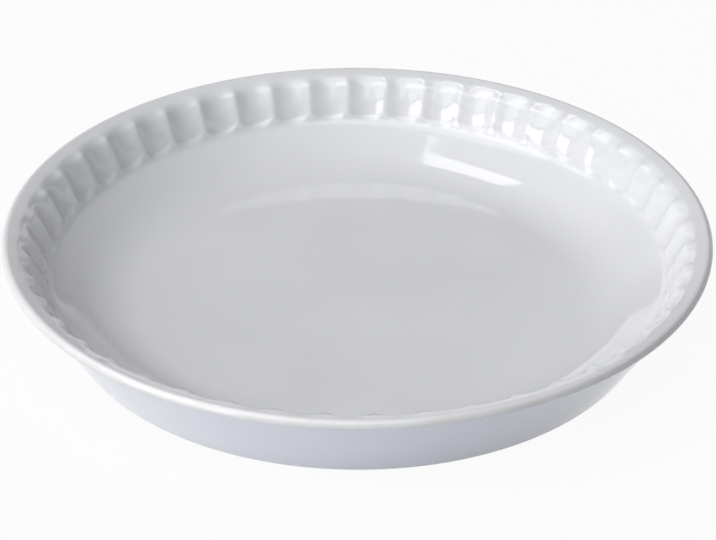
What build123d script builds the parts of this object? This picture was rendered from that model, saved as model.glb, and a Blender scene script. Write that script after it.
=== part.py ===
from build123d import *

import os
from math import atan2, cos, degrees, hypot, pi, radians, sin, tan

os.makedirs("parts", exist_ok=True)

# A round pie dish of glazed stoneware with a ring of thumb-like scoops inside its rim.
# The Z axis is the axis of the dish, and Z is zero on the surface that it stands on.
# Lengths are in millimetres and angles in degrees.

# Overall form
rim_radius = 130.0
rim_height = 35.4
base_inset = 22.5
floor_height = 5.0
wall_width = 4.3

# Lip: a rounded edge that overhangs the outside wall, and a sloping top inside it
lip_edge_radius = 1.9
lip_overhang = 3.4
lip_width = 12.0
lip_slope = 15.0

# Inside: a steep band under the lip, then a shallow wall and a wide corner to the floor
band_depth = 17.5
lower_wall_slope = 32.0
floor_corner_radius = 39.0

# Base: a round outside corner, and a bare standing ring round a shallow recess
base_corner_radius = 3.9
ring_width = 3.6
ring_slope_width = 1.6
recess_depth = 1.4

# Scoops: round bottomed hollows side by side, up the band, over a shoulder and out on the lip
scoop_count = 48
scoop_depth = 1.8
scoop_shoulder_radius = 5.0
scoop_lip_gap = 4.2
scoop_lip_slope = 33.0
scoop_tip_radius = 11.0
scoop_tip_slope = 60.0
scoop_clearance = 6.0


def turned(centre, radius, angle):
    """Point at an angle on the circle round a centre."""
    return (centre[0] + radius * cos(radians(angle)), centre[1] + radius * sin(radians(angle)))


# The lip in section: a sloping top, a round edge and a flat underside
edge_height = rim_height - lip_edge_radius
edge_centre = (rim_radius - lip_edge_radius, edge_height)
lip_top = turned(edge_centre, lip_edge_radius, 90 + lip_slope)
lip_under = turned(edge_centre, lip_edge_radius, -90)
wall_top = (rim_radius - lip_overhang, lip_under[1])
base_radius = rim_radius - base_inset


def lip_height(radius):
    """Height of the sloping top of the lip at a radius."""
    return lip_top[1] - (lip_top[0] - radius) * tan(radians(lip_slope))


def wall_radius(height):
    """Radius of the outside wall at a height."""
    return base_radius + (wall_top[0] - base_radius) * height / wall_top[1]


# The inside wall in section
band_top = (rim_radius - lip_width, lip_height(rim_radius - lip_width))
band_foot_height = rim_height - band_depth
band_foot = (wall_radius(band_foot_height) - wall_width, band_foot_height)
lower_wall_run = (band_foot_height - floor_height) / tan(radians(lower_wall_slope))
floor_corner_reach = floor_corner_radius * tan(radians(lower_wall_slope) / 2)
floor_corner_centre = (
    band_foot[0] - lower_wall_run - floor_corner_reach,
    floor_height + floor_corner_radius,
)
floor_edge = turned(floor_corner_centre, floor_corner_radius, -90)
lower_wall_start = turned(floor_corner_centre, floor_corner_radius, lower_wall_slope - 90)

# The base in section
wall_lean = degrees(atan2(wall_top[0] - base_radius, wall_top[1]))
ring_outer_radius = base_radius - base_corner_radius * tan(radians(90 - wall_lean) / 2)
ring_inner_radius = ring_outer_radius - ring_width
recess_radius = ring_inner_radius - ring_slope_width

# Section through the dish and its ring, from the axis out to the lip and back under the base
with BuildSketch(Plane.XZ) as whole_section:
    with BuildLine():
        Line((0, floor_height), floor_edge)
        EllipticalCenterArc(
            floor_corner_centre,
            floor_corner_radius,
            floor_corner_radius,
            start_angle=-90,
            arc_size=lower_wall_slope,
        )
        Polyline(lower_wall_start, band_foot, band_top, lip_top)
        EllipticalCenterArc(
            edge_centre,
            lip_edge_radius,
            lip_edge_radius,
            start_angle=-90,
            arc_size=180 + lip_slope,
        )
        FilletPolyline(
            lip_under,
            wall_top,
            (base_radius, 0),
            (ring_inner_radius, 0),
            (recess_radius, recess_depth),
            (0, recess_depth),
            (0, floor_height),
            radius=[0, base_corner_radius, 0, 0, 0],
        )
    make_face()

# Directions in section: up the band, and square to it into its clay
band_length = hypot(band_top[0] - band_foot[0], band_top[1] - band_foot[1])
band_up = (
    (band_top[0] - band_foot[0]) / band_length,
    (band_top[1] - band_foot[1]) / band_length,
)
band_in = (band_up[1], -band_up[0])


def on_band(up, inward):
    """Point of the section at a distance up the band and a depth into the clay."""
    return (
        band_foot[0] + band_up[0] * up + band_in[0] * inward,
        band_foot[1] + band_up[1] * up + band_in[1] * inward,
    )


# The bottom line of a scoop climbs the band, turns over the shoulder and leaves the lip
climb = (cos(radians(scoop_lip_slope)), sin(radians(scoop_lip_slope)))
lip_exit = (rim_radius - scoop_lip_gap, lip_height(rim_radius - scoop_lip_gap))
scoop_start = on_band(-scoop_clearance, scoop_depth)
start_drop = lip_exit[1] - scoop_start[1] - (lip_exit[0] - scoop_start[0]) * climb[1] / climb[0]
band_run = start_drop / (band_up[1] - band_up[0] * climb[1] / climb[0])
scoop_shoulder = on_band(band_run - scoop_clearance, scoop_depth)
scoop_end = (
    lip_exit[0] + scoop_clearance * climb[0],
    lip_exit[1] + scoop_clearance * climb[1],
)


def section_plane(place, along):
    """Plane at a place of the section, square to a direction in it."""
    return Plane(origin=(place[0], 0, place[1]), x_dir=(0, 1, 0), z_dir=(along[0], 0, along[1]))


# Section of a scoop: a round bottom, as wide as its share of the ring where it meets the surface
half_pitch = pi * band_top[0] / scoop_count
scoop_radius = (half_pitch**2 + scoop_depth**2) / (2 * scoop_depth)
with BuildSketch(section_plane(scoop_start, band_up)) as scoop_section:
    with Locations((0, scoop_radius)):
        Circle(scoop_radius)
    with Locations((0, scoop_clearance)):
        Rectangle(
            2 * scoop_radius,
            2 * scoop_radius,
            align=(Align.CENTER, Align.MIN),
            mode=Mode.SUBTRACT,
        )

# The lower end of a scoop is a fingertip in outline, with a sloping ledge of clay round it
tip_floor = on_band(scoop_tip_radius, 2 * scoop_depth)
tip_height = 2 * scoop_depth + scoop_clearance
tip_spread = 1 / tan(radians(scoop_tip_slope))
tip_plane = section_plane(tip_floor, (-band_in[0], -band_in[1]))
tip_cone = tip_plane * Cone(
    scoop_tip_radius - 2 * scoop_depth * tip_spread,
    scoop_tip_radius + scoop_clearance * tip_spread,
    tip_height,
    align=(Align.CENTER, Align.CENTER, Align.MIN),
)

with BuildPart() as tip_ledge:
    with BuildSketch(tip_plane):
        Rectangle(
            4 * scoop_tip_radius,
            2 * scoop_tip_radius,
            align=(Align.CENTER, Align.MIN),
        )
    extrude(amount=tip_height)
    add(tip_cone, mode=Mode.SUBTRACT)

with BuildPart() as scoop:
    with BuildLine(Plane.XZ) as bottom_line:
        FilletPolyline(
            scoop_start,
            scoop_shoulder,
            scoop_end,
            radius=scoop_shoulder_radius,
        )
    sweep(scoop_section.sketch, path=bottom_line.wire())
    add(tip_ledge.part, mode=Mode.SUBTRACT)

# Standing ring: the foot of the clay, left bare of glaze
with BuildPart() as standing_ring:
    with BuildSketch(Plane.XZ):
        add(whole_section.sketch)
        Rectangle(
            ring_outer_radius,
            recess_depth,
            align=Align.MIN,
            mode=Mode.INTERSECT,
        )
    revolve(axis=Axis.Z)
standing_ring.part.label = "standing_ring"
export_step(standing_ring.part, "parts/standing_ring.step")

# Glazed dish: floor, walls and lip, with the scoops cut side by side all round
with BuildPart() as glazed_dish:
    with BuildSketch(Plane.XZ):
        add(whole_section.sketch)
        Rectangle(
            ring_outer_radius,
            recess_depth,
            align=Align.MIN,
            mode=Mode.SUBTRACT,
        )
    revolve(axis=Axis.Z)
    with PolarLocations(0, scoop_count):
        add(scoop.part, mode=Mode.SUBTRACT)
glazed_dish.part.label = "glazed_dish"
export_step(glazed_dish.part, "parts/glazed_dish.step")
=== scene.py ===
from math import atan2, ceil, cos, hypot, pi, radians, sin, tan

import bpy
import numpy as np
from mathutils import Matrix, Vector


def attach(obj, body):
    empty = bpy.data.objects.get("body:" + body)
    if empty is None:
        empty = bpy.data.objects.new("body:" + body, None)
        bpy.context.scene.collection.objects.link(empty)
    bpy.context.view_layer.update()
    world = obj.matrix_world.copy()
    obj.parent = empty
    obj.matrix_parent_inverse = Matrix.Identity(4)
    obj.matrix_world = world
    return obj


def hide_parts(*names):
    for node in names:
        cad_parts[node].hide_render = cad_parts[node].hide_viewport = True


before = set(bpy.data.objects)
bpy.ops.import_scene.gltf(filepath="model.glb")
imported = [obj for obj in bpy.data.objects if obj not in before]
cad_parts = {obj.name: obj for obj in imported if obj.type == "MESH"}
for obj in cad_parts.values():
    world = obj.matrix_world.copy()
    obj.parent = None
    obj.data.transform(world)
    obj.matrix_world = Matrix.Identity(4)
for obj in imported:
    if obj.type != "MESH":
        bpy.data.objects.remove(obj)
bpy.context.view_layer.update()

# The glazed dish of the photograph: a smooth turned surface with a ring of scoops pressed into it.
# Sizes are in millimetres unless a comment says otherwise, and the scene itself is in metres.
MM = 0.001

# Sizes of the dish, the same as in its solid model
rim_radius = 130.0
rim_height = 35.4
base_inset = 22.5
floor_height = 5.0
wall_width = 4.3
lip_edge_radius = 1.9
lip_overhang = 3.4
lip_width = 12.0
lip_slope = radians(15.0)
band_depth = 17.5
lower_wall_slope = radians(32.0)
floor_corner_radius = 39.0
base_corner_radius = 3.9
recess_depth = 1.4
scoop_count = 48

# Soft form of the fired clay: the shoulder over the band, a slight bend in it, and its foot
shoulder_setback = 2.0
shoulder_radius = 3.0
band_bend = 8.5
band_bend_radius = 40.0
band_foot_radius = 5.5

# Round under the lip, and the hairline gap and tight corner where the glaze meets the bare ring
lip_under_share = 0.99
under_lip_radius = 1.2
ring_gap = 0.02
ring_gap_corner_radius = 0.002

# Bottom line of a scoop, from the lip over a knee and a shoulder and down the band
scoop_outer_gap = 2.4
scoop_start_radius = 3.0
scoop_lip_slope = radians(18.0)
scoop_knee_run = 3.6
scoop_knee_slope = radians(44.0)
scoop_knee_radius = 3.0
scoop_shoulder_radius = 12.0
scoop_wall_slope = radians(60.8)
scoop_bend_height = 24.2
scoop_bend_radius = 30.0
scoop_foot_slope = radians(74.0)
scoop_depth = 1.45
press_reach = 3.0

# Fingertip at the lower end of a scoop
scoop_tip_radius = 8.8
tip_start = 0.2
tip_slope = radians(47.0)
tip_margin = 1.5

# How round the surface stays where fields meet: at ridges, round a tip and at its edge
ridge_softness = 0.95
ledge_softness = 0.5
tip_softness = 0.35
least_softness = 1e-4

# Unevenness of handwork: the depth from scoop to scoop, and the spacing on one side
depth_variation = 0.05
depth_quick_wave = 2.4
depth_slow_wave = 0.7
scoop_drift = radians(1.0)
drift_bearing = radians(50)

# How finely the surface is divided
columns_per_scoop = 14
ridge_crowding = 0.55
plain_step = 9.0
recess_step = 18.0
wall_step = 3.0
band_step = 0.5
lip_step = 0.62
corner_turn = radians(9.0)
wide_corner_turn = radians(3.0)

# The photograph's frame in pixels and the camera that took it
photo_size = (716, 540)
focal_pixels = 2298.0
rim_centre_pixel = (357.18, 225.67)
camera_distance = 847.1
camera_elevation = radians(29.86)
camera_roll = radians(-0.236)
camera_azimuth = radians(271.15)
camera_clip_end = 100
sensor_width = 36.0

# Noise patterns: how rough they are, and the ranges in which most of their values lie
noise_roughness = 0.5
noise_range = (0.3, 0.7)
cloud_range = (0.35, 0.65)

# White glaze. Colours are linear, scales are repeats per metre, and bump heights are in metres
glaze_ior = 1.6
glaze_dark = (0.744, 0.746, 0.762, 1)
glaze_light = (0.766, 0.768, 0.784, 1)
glaze_cloud_scale = 22.0
glaze_roughness = (0.045, 0.085)
glaze_roughness_scale = 45.0
ripple_scale = 70.0
ripple_height = 0.00006
skin_scale = 1300.0
skin_height = 0.0000015
speck_colour = (0.45, 0.38, 0.3, 1)
speck_scale = 900.0
speck_range = (0.76, 0.8)
speck_strength = 0.12

# Where the glaze runs thin and warm on the edge of the lip, and a darker, warmer colour towards
# the foot of the wall
edge_and_foot_colour = (0.66, 0.62, 0.56, 1)
thin_lip_width = 1.6
thin_lip_height = 1.5
thin_lip_strength = 0.6
# Heights over which the glaze turns darker and warmer towards the foot of the wall
foot_darker_range = (2.6, 0.3)
foot_darker_strength = 0.8
warm_patch_scale = 120.0
warm_patch_strength = (0.45, 1.0)
warm_roughness = 0.08

# Bare stoneware, in the same units
clay_dark = (0.66, 0.61, 0.53, 1)
clay_light = (0.76, 0.72, 0.65, 1)
clay_cloud_scale = 60.0
clay_roughness = (0.72, 0.9)
clay_roughness_scale = 400.0
lump_scale = 300.0
lump_height = 0.0002
sand_colour = (0.4, 0.33, 0.26, 1)
sand_scale = 1500.0
sand_range = (0.62, 0.72)
sand_strength = (0.0, 0.5)
sand_height = 0.00006

# Studio, in metres: a pale floor with a low wall far round it, in a dim even light
white = (1, 1, 1, 1)
floor_colour = (0.6, 0.63, 0.71, 1)
floor_whiteness = 0.94
backdrop_radius = 5.0
backdrop_height = 0.85
backdrop_sides = 64
world_colour = (0.96, 0.97, 1.0, 1)
world_strength = 0.08
plain_light = (1, 1, 1)
cool_light = (0.84, 0.91, 1.0)

# Three corners of the tall panel whose reflection stands on the back wall, and its brightness
panel_near_corner = Vector((-0.225, 0.105, 1.2))
panel_corner = Vector((-0.265, 0.594, 1.86))
panel_far_corner = Vector((-0.398, 0.415, 0.96))
panel_radiance = 3.7


def unit(vector):
    """The same direction with a length of one."""
    return vector / np.linalg.norm(vector)


def lip_height(radius):
    """Height of the sloping top of the lip at a radius."""
    return lip_outer_height - (rim_radius - radius) * tan(lip_slope)


# Corners of the dish in section, as radius and height
edge_height = rim_height - lip_edge_radius
lip_outer_height = edge_height + lip_edge_radius * (1 + sin(lip_slope)) / cos(lip_slope)
wall_top = (rim_radius - lip_overhang, edge_height - lip_edge_radius)
base_radius = rim_radius - base_inset
band_top = (rim_radius - lip_width, lip_outer_height - lip_width * tan(lip_slope))
band_foot_height = rim_height - band_depth
wall_at_band_foot = base_radius + (wall_top[0] - base_radius) * band_foot_height / wall_top[1]
band_foot = (wall_at_band_foot - wall_width, band_foot_height)
shoulder_corner = (
    band_top[0] + shoulder_setback,
    band_top[1] + shoulder_setback * tan(lip_slope),
)
band_length = hypot(band_top[0] - band_foot[0], band_top[1] - band_foot[1])
band_middle = (
    band_foot[0] + (band_top[0] - band_foot[0]) * band_bend / band_length,
    band_foot[1] + (band_top[1] - band_foot[1]) * band_bend / band_length,
)
lower_wall_run = (band_foot_height - floor_height) / tan(lower_wall_slope)
wall_foot = (band_foot[0] - lower_wall_run, floor_height)
wall_lean = atan2(wall_top[0] - base_radius, wall_top[1])
ring_outer_radius = base_radius - base_corner_radius * tan((pi / 2 - wall_lean) / 2)


def corner_arc(corner, before, after, radius):
    """Start of the arc that rounds a corner between two directions, and the points along it."""
    turn = np.arccos(np.clip(before @ after, -1, 1))
    reach = radius * tan(turn / 2)
    start = corner - before * reach
    centre = corner + unit(after - before) * radius / cos(turn / 2)
    finest = wide_corner_turn if radius > plain_step else corner_turn
    count = max(2, ceil(turn / finest))
    spoke = start - centre
    side = np.sign(before[0] * after[1] - before[1] * after[0])
    arc = []
    for k in range(1, count + 1):
        angle = side * turn * k / count
        x = spoke[0] * cos(angle) - spoke[1] * sin(angle)
        y = spoke[0] * sin(angle) + spoke[1] * cos(angle)
        arc.append(centre + np.array([x, y]))
    return start, arc


def rounded(corners, radii, steps):
    """Points along a polyline, with arcs at its inner corners and its straights in short steps."""
    corners = [np.array(corner, float) for corner in corners]
    points = [corners[0]]
    for i in range(1, len(corners)):
        end, arc = corners[i], []
        if i < len(corners) - 1:
            before = unit(corners[i] - corners[i - 1])
            after = unit(corners[i + 1] - corners[i])
            end, arc = corner_arc(corners[i], before, after, radii[i - 1])
        first = points[-1]
        count = max(1, ceil(np.linalg.norm(end - first) / steps[i - 1]))
        for k in range(1, count + 1):
            points.append(first + (end - first) * k / count)
        points.extend(arc)
    return np.array(points)


def dish_profile():
    """The dish in section, from the middle of its floor over the lip to the middle underneath."""
    path = [
        ((0, floor_height), 0, plain_step),
        (wall_foot, floor_corner_radius, wall_step),
        (band_foot, band_foot_radius, wall_step),
        (band_middle, band_bend_radius, band_step),
        (shoulder_corner, shoulder_radius, band_step),
        ((rim_radius, lip_outer_height), lip_edge_radius, lip_step),
        ((rim_radius, wall_top[1]), lip_edge_radius * lip_under_share, wall_step),
        (wall_top, under_lip_radius, wall_step),
        ((base_radius, 0), base_corner_radius, plain_step),
        ((ring_outer_radius - ring_gap, 0), ring_gap_corner_radius, plain_step),
        ((ring_outer_radius - ring_gap, recess_depth), ring_gap, plain_step),
        ((0, recess_depth), 0, recess_step),
    ]
    corners, radii, steps = zip(*path)
    return rounded(corners, radii[1:-1], steps[1:])


def meeting(place, slope, other, other_slope):
    """Corner where a line at a slope through a place meets a line through another."""
    sides = np.array([[cos(slope), -cos(other_slope)], [sin(slope), -sin(other_slope)]])
    run = np.linalg.solve(sides, np.array(other) - np.array(place))[0]
    return np.array(place) + run * np.array([cos(slope), sin(slope)])


def scoop_bottom():
    """Bottom line of a scoop in section, from below the band up to the lip."""
    inward = np.array([sin(scoop_foot_slope), -cos(scoop_foot_slope)])
    upward = np.array([cos(scoop_foot_slope), sin(scoop_foot_slope)])
    foot = np.array(band_foot) + scoop_depth * inward
    below = foot - 2 * scoop_depth * upward
    bend_run = (scoop_bend_height - foot[1]) / tan(scoop_foot_slope)
    bend = (foot[0] + bend_run, scoop_bend_height)
    start_radius = rim_radius - scoop_outer_gap
    start = np.array([start_radius, lip_height(start_radius)])
    knee = start - scoop_knee_run * np.array([1, tan(scoop_lip_slope)])
    shoulder = meeting(bend, scoop_wall_slope, knee, scoop_knee_slope)
    corners = [below, bend, shoulder, knee, start, (rim_radius, lip_outer_height)]
    radii = [scoop_bend_radius, scoop_shoulder_radius, scoop_knee_radius, scoop_start_radius]
    return rounded(corners, radii, [band_step] * len(corners[1:]))


def press_lines(profile):
    """Depth and direction of the scoops at each point of the profile, and how far up it lies."""
    steps = np.linalg.norm(np.diff(profile, axis=0), axis=1)
    along = np.concatenate([[0], np.cumsum(steps)])
    tangent = np.gradient(profile, axis=0)
    tangent /= np.linalg.norm(tangent, axis=1)[:, None]
    inward = np.stack([tangent[:, 1], -tangent[:, 0]], axis=1)
    apart = along[:, None] - along[None, :]
    near = np.exp(-((apart / press_reach) ** 2)) * np.gradient(along)[None, :]
    inward = near @ inward
    inward /= np.linalg.norm(inward, axis=1)[:, None]
    to_foot = np.hypot(profile[:, 0] - band_foot[0], profile[:, 1] - band_foot[1])
    up = along - along[np.argmin(to_foot)]
    inside = up < up[np.argmax(profile[:, 0])]
    reached = (up > -press_reach) & (profile[:, 0] < rim_radius - scoop_outer_gap) & inside
    bottom = scoop_bottom()
    press = np.zeros(len(profile))
    for i in np.where(reached)[0]:
        aside = (bottom - profile[i]) @ np.array([-inward[i][1], inward[i][0]])
        press[i] = max(0, np.interp(0, aside, (bottom - profile[i]) @ inward[i]))
    return press, inward, up


def softer_max(a, b, softness):
    """The larger of two fields, rounded where they cross."""
    return (a + b + np.sqrt((a - b) ** 2 + softness**2)) / 2


def softer_min(a, b, softness):
    """The smaller of two fields, rounded where they cross."""
    return -softer_max(-a, -b, softness)


def one_scoop(press, up, across, width, number):
    """Depth of one scoop, negative outside it, at a distance across its centre line."""
    wave = np.sin(number * depth_quick_wave) * np.cos(number * depth_slow_wave)
    share = 1 + depth_variation * wave
    bowl = press * share * (1 - (across / width) ** 2)
    below = np.minimum(up - tip_start - scoop_tip_radius, 0)
    ledge = (scoop_tip_radius - np.hypot(across, below)) * tan(tip_slope)
    return softer_min(bowl, ledge, ledge_softness * press / scoop_depth)


def scoop_field(press, up, radius, theta):
    """Depth of all the scoops at places of the plain surface."""
    pitch = 2 * pi / scoop_count
    number = np.round(theta / pitch)
    angle = theta - number * pitch
    beside = np.where(angle >= 0, 1, -1)
    width = radius * pitch / 2
    own = one_scoop(press, up, radius * angle, width, number)
    other = one_scoop(press, up, radius * (angle - beside * pitch), width, number + beside)
    softness = press / scoop_depth
    both = softer_max(own, other, ridge_softness * softness + least_softness)
    return softer_max(both, np.zeros_like(both), tip_softness * softness + least_softness)


def column_angles():
    """Angles of the mesh columns, closer together at the ridges between scoops."""
    pitch = 2 * pi / scoop_count
    share = np.arange(columns_per_scoop) / columns_per_scoop
    bent = share + ridge_crowding * np.sin(2 * pi * share) / (2 * pi)
    return (np.arange(scoop_count)[:, None] + bent[None, :]).ravel() * pitch


def drifted(theta):
    """Angles with the uneven spacing that a hand gives the scoops on one side."""
    return theta - scoop_drift * np.maximum(0, np.cos(theta - drift_bearing)) ** 2


def pressed_grid(profile):
    """Places of the surface turned from a profile, with the scoops pressed in, row by row."""
    theta = column_angles()
    press, inward, up = press_lines(profile)
    radius = np.repeat(profile[:, 0][:, None], len(theta), axis=1)
    height = np.repeat(profile[:, 1][:, None], len(theta), axis=1)
    depth = np.zeros_like(radius)
    rows = np.where((press > 0) & (up > -tip_margin))[0]
    depth[rows] = scoop_field(
        press[rows][:, None],
        up[rows][:, None],
        radius[rows],
        theta[None, :],
    )
    radius = radius + inward[:, 0][:, None] * depth
    height = height + inward[:, 1][:, None] * depth
    x = radius * np.cos(drifted(theta))
    y = radius * np.sin(drifted(theta))
    return np.stack([x, y, height], axis=-1) * MM


def lathe(name, profile):
    """Mesh turned from a profile whose ends lie on the axis, closed by a fan at each end."""
    grid = pressed_grid(profile)[1:-1]
    row_count, column_count = grid.shape[:2]
    vertices = [tuple(place) for place in grid.reshape(-1, 3)]
    first_middle = len(vertices)
    last_middle = first_middle + 1
    vertices.append((0, 0, profile[0, 1] * MM))
    vertices.append((0, 0, profile[-1, 1] * MM))
    last_row = (row_count - 1) * column_count
    faces = []
    for j in range(column_count):
        k = (j + 1) % column_count
        faces.append((first_middle, j, k))
        faces.append((last_middle, last_row + k, last_row + j))
    for i in range(row_count - 1):
        a = i * column_count
        b = a + column_count
        for j in range(column_count):
            k = (j + 1) % column_count
            faces.append((a + j, b + j, b + k, a + k))
    mesh = bpy.data.meshes.new(name)
    mesh.from_pydata(vertices, [], faces)
    mesh.update()
    mesh.shade_smooth()
    piece = bpy.data.objects.new(name, mesh)
    bpy.context.collection.objects.link(piece)
    return piece


def add_camera():
    """Camera that puts the centre of the rim on its pixel of the photograph."""
    level = cos(camera_elevation)
    away = np.array(
        [cos(camera_azimuth) * level, sin(camera_azimuth) * level, sin(camera_elevation)]
    )
    place = np.array([0, 0, edge_height]) + camera_distance * away
    forward = -away
    right = unit(np.cross(forward, [0, 0, 1]))
    up = np.cross(right, forward)
    dx = (rim_centre_pixel[0] - photo_size[0] / 2) / focal_pixels
    dy = -(rim_centre_pixel[1] - photo_size[1] / 2) / focal_pixels
    seen = unit(np.array([dx, dy, 1]))
    axis = np.cross([0, 0, 1], seen)
    skew = np.array([[0, -axis[2], axis[1]], [axis[2], 0, -axis[0]], [-axis[1], axis[0], 0]])
    tilt = np.eye(3) + skew + skew @ skew / (1 + seen[2])
    roll = np.array(
        [
            [cos(camera_roll), -sin(camera_roll), 0],
            [sin(camera_roll), cos(camera_roll), 0],
            [0, 0, 1],
        ]
    )
    rows = roll @ tilt @ np.array([right, up, forward])
    data = bpy.data.cameras.new("camera")
    data.sensor_width = sensor_width
    data.lens = focal_pixels * sensor_width / photo_size[0]
    data.clip_end = camera_clip_end
    camera = bpy.data.objects.new("camera", data)
    matrix = Matrix.Identity(4)
    for i in range(3):
        matrix[i][0] = rows[0][i]
        matrix[i][1] = rows[1][i]
        matrix[i][2] = -rows[2][i]
        matrix[i][3] = place[i] * MM
    camera.matrix_world = matrix
    bpy.context.collection.objects.link(camera)
    bpy.context.scene.camera = camera


def add_lamp(name, width, height, radiance, tint, matrix):
    """Rectangular soft light of a given brightness, whatever its size."""
    lamp = bpy.data.lights.new(name, "AREA")
    lamp.shape = "RECTANGLE"
    lamp.size = width
    lamp.size_y = height
    lamp.energy = radiance * pi * width * height
    lamp.color = tint
    box = bpy.data.objects.new(name, lamp)
    box.matrix_world = matrix
    box.visible_camera = False
    bpy.context.collection.objects.link(box)


def add_softbox(
    name, *, width, height, bearing, elevation, distance, radiance, tint=plain_light
):
    """Soft light that faces the dish from a bearing and an elevation in degrees."""
    bearing, elevation = radians(bearing), radians(elevation)
    level = cos(elevation)
    place = Vector((cos(bearing) * level, sin(bearing) * level, sin(elevation))) * distance
    facing = place.to_track_quat("Z", "Y").to_matrix().to_4x4()
    add_lamp(name, width, height, radiance, tint, Matrix.Translation(place) @ facing)


def add_panel(name, corner, beside, above, radiance):
    """Soft light between three of its corners, which shines to the side of their turn."""
    across, up = beside - corner, above - corner
    up = up - across * (up.dot(across) / across.length_squared)
    middle = corner + across / 2 + up / 2
    rows = (across.normalized(), up.normalized(), across.cross(up).normalized())
    matrix = Matrix.Translation(middle) @ Matrix(rows).transposed().to_4x4()
    add_lamp(name, across.length, up.length, radiance, plain_light, matrix)


def add_lamps():
    """Key light from the left, with softer ones all round that fill its shadows."""
    add_softbox(
        "key",
        width=0.7,
        height=0.33,
        bearing=219.5,
        elevation=12.5,
        distance=1.1,
        radiance=4.3,
    )
    add_softbox(
        "left",
        width=2.4,
        height=1.3,
        bearing=201,
        elevation=43,
        distance=1.9,
        radiance=1.55,
    )
    add_softbox(
        "high",
        width=2.2,
        height=1.4,
        bearing=232,
        elevation=60,
        distance=1.6,
        radiance=1.6,
    )
    add_softbox(
        "front",
        width=1.2,
        height=0.8,
        bearing=265,
        elevation=42,
        distance=1.5,
        radiance=0.65,
        tint=cool_light,
    )
    add_softbox(
        "low",
        width=1.2,
        height=0.5,
        bearing=252,
        elevation=12,
        distance=1.5,
        radiance=0.5,
        tint=cool_light,
    )
    add_softbox(
        "top",
        width=0.8,
        height=0.8,
        bearing=0,
        elevation=90,
        distance=1.5,
        radiance=0.2,
    )
    add_softbox(
        "behind",
        width=0.9,
        height=0.4,
        bearing=130,
        elevation=20,
        distance=1.5,
        radiance=0.1,
        tint=cool_light,
    )
    add_panel("panel", panel_near_corner, panel_corner, panel_far_corner, panel_radiance)


class Nodes:
    """Short way to add and join the nodes of a material or world."""

    def __init__(self, owner):
        owner.use_nodes = True
        self.tree = owner.node_tree
        self.tree.nodes.clear()

    def put(self, socket, value):
        """Join another node's output to an input, or set the input to a value."""
        if isinstance(value, bpy.types.NodeSocket):
            self.tree.links.new(value, socket)
        else:
            socket.default_value = value

    def add(self, kind, inputs, **settings):
        """Node of a kind, with its inputs and settings."""
        node = self.tree.nodes.new(kind)
        for key, value in settings.items():
            setattr(node, key, value)
        for key, value in inputs.items():
            self.put(node.inputs[key], value)
        return node

    def math(self, operation, a, b, clamp=False):
        """Sum, product or the like of two values."""
        settings = {"operation": operation, "use_clamp": clamp}
        return self.add("ShaderNodeMath", {0: a, 1: b}, **settings).outputs[0]

    def noise(self, place, scale, detail):
        """Noise pattern with a number of repeats per metre."""
        inputs = {"Vector": place, "Scale": scale, "Detail": detail}
        inputs["Roughness"] = noise_roughness
        return self.add("ShaderNodeTexNoise", inputs).outputs["Fac"]

    def ramp(self, value, limits, out=(0.0, 1.0)):
        """Smooth ramp from one value to another while the input passes between its limits."""
        low, high = limits
        inputs = {"Value": value, "From Min": low, "From Max": high}
        inputs.update({"To Min": out[0], "To Max": out[1]})
        node = self.add("ShaderNodeMapRange", inputs, interpolation_type="SMOOTHSTEP")
        return node.outputs[0]

    def mix(self, share, a, b):
        """Colour between two others; a mix of colours has its own sockets among the rest."""
        node = self.add("ShaderNodeMix", {0: share, 6: a, 7: b}, data_type="RGBA")
        return node.outputs[2]

    def bump(self, pattern, height, normal=None):
        """Normal of a surface that a pattern raises by a height, on top of another normal."""
        inputs = {"Height": pattern, "Distance": height}
        if normal:
            inputs["Normal"] = normal
        return self.add("ShaderNodeBump", inputs).outputs[0]

    def seen(self):
        """One for rays from the camera and for mirrored and refracted ones, else zero."""
        path = self.add("ShaderNodeLightPath", {})
        direct = self.math("ADD", path.outputs["Is Camera Ray"], path.outputs["Is Glossy Ray"])
        return self.math("ADD", direct, path.outputs["Is Transmission Ray"], clamp=True)


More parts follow.
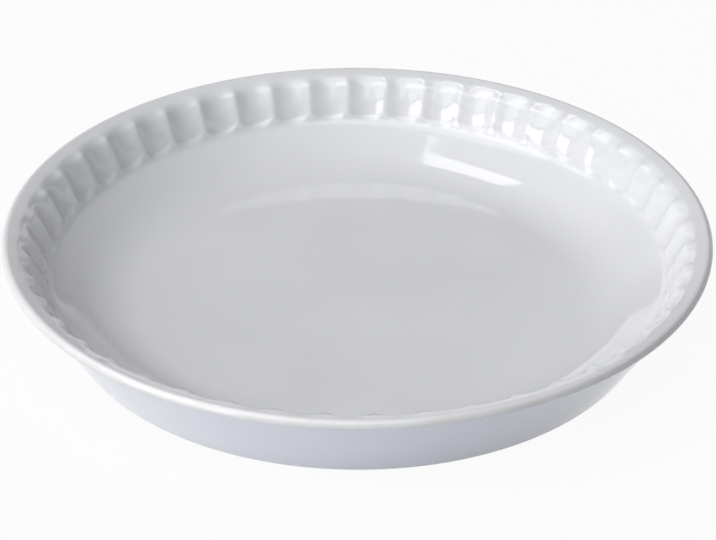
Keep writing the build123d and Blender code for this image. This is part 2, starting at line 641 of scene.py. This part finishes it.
def glaze_material():
    """Glossy white glaze, faintly clouded and rippled, thin and warm on the edge of the lip, and
    darker and warmer towards the foot of the wall.
    """
    material = bpy.data.materials.new("white_glaze")
    n = Nodes(material)
    place = n.add("ShaderNodeTexCoord", {}).outputs["Object"]
    axes = n.add("ShaderNodeSeparateXYZ", {0: place})
    flat = n.add("ShaderNodeCombineXYZ", {0: axes.outputs[0], 1: axes.outputs[1]}).outputs[0]
    radius = n.add("ShaderNodeVectorMath", {0: flat}, operation="LENGTH").outputs["Value"]
    height = axes.outputs[2]
    clouds = n.noise(place, glaze_cloud_scale, detail=4.0)
    colour = n.mix(n.ramp(clouds, cloud_range), glaze_dark, glaze_light)
    edge = n.math(
        "MULTIPLY",
        n.ramp(radius, ((rim_radius - thin_lip_width) * MM, rim_radius * MM)),
        n.ramp(height, ((edge_height - thin_lip_height) * MM, edge_height * MM)),
    )
    # Darker, warmer colour on the lowest few millimetres of the outer wall, towards the floor
    foot = n.ramp(height, [limit * MM for limit in foot_darker_range])
    # Share of the warm colour: thin glaze on the edge of the lip, and the darker, warmer foot of
    # the wall
    warm_share = n.math(
        "MAXIMUM",
        n.math("MULTIPLY", edge, thin_lip_strength),
        n.math("MULTIPLY", foot, foot_darker_strength),
    )
    patches = n.noise(place, warm_patch_scale, detail=2.0)
    uneven = n.ramp(patches, noise_range, warm_patch_strength)
    colour = n.mix(n.math("MULTIPLY", warm_share, uneven), colour, edge_and_foot_colour)
    specks = n.ramp(n.noise(place, speck_scale, detail=1.0), speck_range)
    colour = n.mix(n.math("MULTIPLY", specks, speck_strength), colour, speck_colour)
    gloss = n.noise(place, glaze_roughness_scale, detail=3.0)
    roughness = n.math(
        "ADD",
        n.ramp(gloss, noise_range, glaze_roughness),
        n.math("MULTIPLY", warm_share, warm_roughness),
    )
    ripple = n.bump(n.noise(place, ripple_scale, detail=1.0), ripple_height)
    skin = n.bump(n.noise(place, skin_scale, detail=2.0), skin_height, ripple)
    inputs = {"Base Color": colour, "Roughness": roughness, "Normal": skin, "IOR": glaze_ior}
    shader = n.add("ShaderNodeBsdfPrincipled", inputs)
    n.add("ShaderNodeOutputMaterial", {"Surface": shader.outputs[0]})
    return material


def clay_material():
    """Bare stoneware: dry, sandy and speckled."""
    material = bpy.data.materials.new("bare_stoneware")
    n = Nodes(material)
    place = n.add("ShaderNodeTexCoord", {}).outputs["Object"]
    clouds = n.noise(place, clay_cloud_scale, detail=4.0)
    colour = n.mix(n.ramp(clouds, cloud_range), clay_dark, clay_light)
    sand = n.noise(place, sand_scale, detail=2.0)
    colour = n.mix(n.ramp(sand, sand_range, sand_strength), colour, sand_colour)
    dry = n.noise(place, clay_roughness_scale, detail=2.0)
    roughness = n.ramp(dry, noise_range, clay_roughness)
    lumps = n.bump(n.noise(place, lump_scale, detail=3.0), lump_height)
    grain = n.bump(sand, sand_height, lumps)
    inputs = {"Base Color": colour, "Roughness": roughness, "Normal": grain}
    shader = n.add("ShaderNodeBsdfPrincipled", inputs)
    n.add("ShaderNodeOutputMaterial", {"Surface": shader.outputs[0]})
    return material


def floor_material():
    """Pale matt floor that looks white and keeps a faint shadow."""
    material = bpy.data.materials.new("pale_floor")
    n = Nodes(material)
    matt = n.add("ShaderNodeBsdfDiffuse", {"Color": floor_colour})
    glow = n.add("ShaderNodeEmission", {"Color": white, "Strength": 1.0})
    share = n.math("MULTIPLY", n.seen(), floor_whiteness)
    both = n.add("ShaderNodeMixShader", {0: share, 1: matt.outputs[0], 2: glow.outputs[0]})
    n.add("ShaderNodeOutputMaterial", {"Surface": both.outputs[0]})
    return material


def add_world():
    """Dim even light from all round."""
    world = bpy.data.worlds.new("world")
    bpy.context.scene.world = world
    n = Nodes(world)
    inputs = {"Color": world_colour, "Strength": world_strength}
    dim = n.add("ShaderNodeBackground", inputs)
    n.add("ShaderNodeOutputWorld", {"Surface": dim.outputs[0]})


def add_backdrop(material):
    """Wide floor and a low wall far round it, so that level views have the same plain ground."""
    bpy.ops.mesh.primitive_plane_add(size=2 * backdrop_radius)
    floor = bpy.context.object
    bpy.ops.mesh.primitive_cylinder_add(
        vertices=backdrop_sides,
        radius=backdrop_radius,
        depth=backdrop_height,
        end_fill_type="NOTHING",
        location=(0, 0, backdrop_height / 2),
    )
    wall = bpy.context.object
    for name, piece in (("floor", floor), ("backdrop", wall)):
        piece.name = name
        piece.data.materials.append(material)


add_camera()

dish = lathe("dish", dish_profile())
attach(dish, "root")
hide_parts("glazed_dish")

bpy.context.scene.view_settings.view_transform = "Standard"
add_lamps()
add_world()
add_backdrop(floor_material())
dish.data.materials.append(glaze_material())

# The standing ring keeps its solid's mesh and gets bare clay
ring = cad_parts["standing_ring"]
clay = clay_material()
for slot in ring.material_slots:
    slot.material = clay
